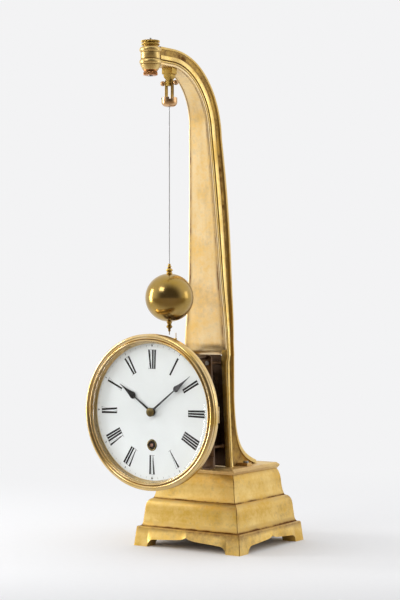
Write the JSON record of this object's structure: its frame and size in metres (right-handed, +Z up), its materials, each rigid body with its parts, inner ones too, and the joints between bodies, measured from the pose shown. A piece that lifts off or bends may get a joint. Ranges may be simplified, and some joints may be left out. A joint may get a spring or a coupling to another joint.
{
  "type": "conical pendulum clock",
  "caption": "Mantel clock: a curved gilt pillar hangs a ball pendulum that a crank drives round in a circle, above a round enamel dial on a stepped square plinth.",
  "frame": {"origin": "middle of the bounding box, on the surface the clock stands on", "axes": "+Z up, the dial and the pendulum face -Y, +X to the right of someone who faces the dial"},
  "size_m": [0.1594, 0.2092, 0.5298],
  "materials": {
    "gilt": "satin gilt, lightly brushed",
    "bezel_brass": "turned satin brass",
    "plate_brass": "aged brass plate",
    "ball_brass": "polished",
    "rose_brass": "satin, reddish",
    "steel": "satin",
    "blued_steel": "blued",
    "enamel": "gloss white enamel",
    "glass": "polished"
  },
  "bodies": {
    "base": {"plinth": "gilt", "plinth_cap": "gilt", "pillar_frame": "gilt", "pillar_front_plate": "gilt", "foot_lugs": "gilt", "foot_screws": "steel", "arm_boss": "gilt", "clamp_screw": "steel", "collar_nut": "bezel_brass", "suspension_block": "bezel_brass", "cross_pin": "bezel_brass", "movement_front_plate": "plate_brass", "movement_back_plate": "plate_brass", "pillars": "plate_brass", "pillar_screws": "steel", "movement_feet": "plate_brass", "dial_bars": "plate_brass", "dial_case": "plate_brass", "dial": "enamel", "dial_pins": "plate_brass", "winding_grommet": "bezel_brass", "arbor_bridge": "plate_brass", "motion_stud": "steel", "click_screw": "steel", "click_spring": "steel", "hinge_pin": "steel"},
    "top_nut": {"milled_nut": "bezel_brass"},
    "stirrup": {"stirrup": "rose_brass", "cup_pin": "steel"},
    "pendulum": {"pendulum_rod": "steel", "upper_finial": "bezel_brass", "ball": "ball_brass", "lower_finial": "plate_brass"},
    "crank": {"crank_arbor": "steel", "carrier": "plate_brass"},
    "contrate": {"contrate_arbor": "steel", "contrate_wheel": "plate_brass"},
    "fourth": {"fourth_arbor": "steel", "fourth_wheel": "plate_brass"},
    "third": {"third_arbor": "steel", "third_wheel": "plate_brass"},
    "centre": {"centre_arbor": "steel", "centre_wheel": "plate_brass"},
    "second": {"second_arbor": "steel", "second_wheel": "plate_brass"},
    "barrel": {"barrel": "plate_brass", "barrel_cover": "plate_brass", "mainspring": "steel"},
    "winding": {"winding_arbor": "steel", "ratchet_wheel": "steel"},
    "click": {"click": "steel"},
    "minute": {"minute_arbor": "steel", "minute_hand": "blued_steel", "hand_collet": "bezel_brass"},
    "motion": {"minute_wheel": "plate_brass"},
    "hour": {"hour_wheel": "plate_brass", "hour_hand": "blued_steel"},
    "bezel": {"bezel": "bezel_brass", "bezel_glass": "glass", "glass_ring": "bezel_brass"}
  },
  "joints": [
    {"name": "top_nut_turn", "type": "hinge", "parent": "base", "child": "top_nut", "pos_m": [0, -0.0933, 0.524], "axis": [0, 0, 1], "continuous": true},
    {"name": "stirrup_lean", "type": "hinge", "parent": "base", "child": "stirrup", "pos_m": [0, -0.0593, 0.488], "axis": [1, 0, 0], "range_deg": [-2.4, 2.4]},
    {"name": "pendulum_lean", "type": "hinge", "parent": "stirrup", "child": "pendulum", "pos_m": [0, -0.0593, 0.468], "axis": [0, 1, 0], "range_deg": [-2.4, 2.4]},
    {"name": "crank_turn", "type": "hinge", "parent": "base", "child": "crank", "pos_m": [0, -0.0593, 0.204], "axis": [0, 0, 1], "continuous": true},
    {"name": "contrate_turn", "type": "hinge", "parent": "base", "child": "contrate", "pos_m": [0, -0.0223, 0.18591], "axis": [0, 1, 0], "continuous": true},
    {"name": "fourth_turn", "type": "hinge", "parent": "base", "child": "fourth", "pos_m": [0.004, -0.0023, 0.17208], "axis": [0, 1, 0], "continuous": true},
    {"name": "third_turn", "type": "hinge", "parent": "base", "child": "third", "pos_m": [-0.008, -0.0023, 0.16359], "axis": [0, 1, 0], "continuous": true},
    {"name": "centre_turn", "type": "hinge", "parent": "base", "child": "centre", "pos_m": [0, -0.0023, 0.1495], "axis": [0, 1, 0], "continuous": true},
    {"name": "second_turn", "type": "hinge", "parent": "base", "child": "second", "pos_m": [-0.008, -0.0023, 0.13541], "axis": [0, 1, 0], "continuous": true},
    {"name": "barrel_turn", "type": "hinge", "parent": "base", "child": "barrel", "pos_m": [0, -0.0023, 0.116], "axis": [0, 1, 0], "continuous": true},
    {"name": "winding_turn", "type": "hinge", "parent": "barrel", "child": "winding", "pos_m": [0, -0.0223, 0.116], "axis": [0, 1, 0], "continuous": true},
    {"name": "click_lift", "type": "hinge", "parent": "base", "child": "click", "pos_m": [0.01274, -0.0133, 0.11912], "axis": [0, 1, 0], "range_deg": [-20, 4], "deforming": ["click_spring"]},
    {"name": "minute_turn", "type": "hinge", "parent": "base", "child": "minute", "pos_m": [0, -0.0623, 0.1495], "axis": [0, 1, 0], "continuous": true},
    {"name": "motion_turn", "type": "hinge", "parent": "base", "child": "motion", "pos_m": [0.01128, -0.0843, 0.1536], "axis": [0, 1, 0], "continuous": true},
    {"name": "hour_turn", "type": "hinge", "parent": "base", "child": "hour", "pos_m": [0, -0.0863, 0.1495], "axis": [0, 1, 0], "continuous": true},
    {"name": "bezel_open", "type": "hinge", "parent": "base", "child": "bezel", "pos_m": [0.0772, -0.0873, 0.1495], "axis": [0, 0, 1], "range_deg": [0, 100]}
  ],
  "couplings": [
    {"joint": "contrate_turn", "follows": "crank_turn", "ratio": -0.1},
    {"joint": "fourth_turn", "follows": "crank_turn", "ratio": 0.0125},
    {"joint": "third_turn", "follows": "crank_turn", "ratio": -0.0020833},
    {"joint": "centre_turn", "follows": "crank_turn", "ratio": 0.00026042},
    {"joint": "second_turn", "follows": "crank_turn", "ratio": -0.000052083},
    {"joint": "barrel_turn", "follows": "crank_turn", "ratio": 0.0000086806},
    {"joint": "motion_turn", "follows": "minute_turn", "ratio": -0.33333},
    {"joint": "hour_turn", "follows": "minute_turn", "ratio": 0.083333}
  ]
}
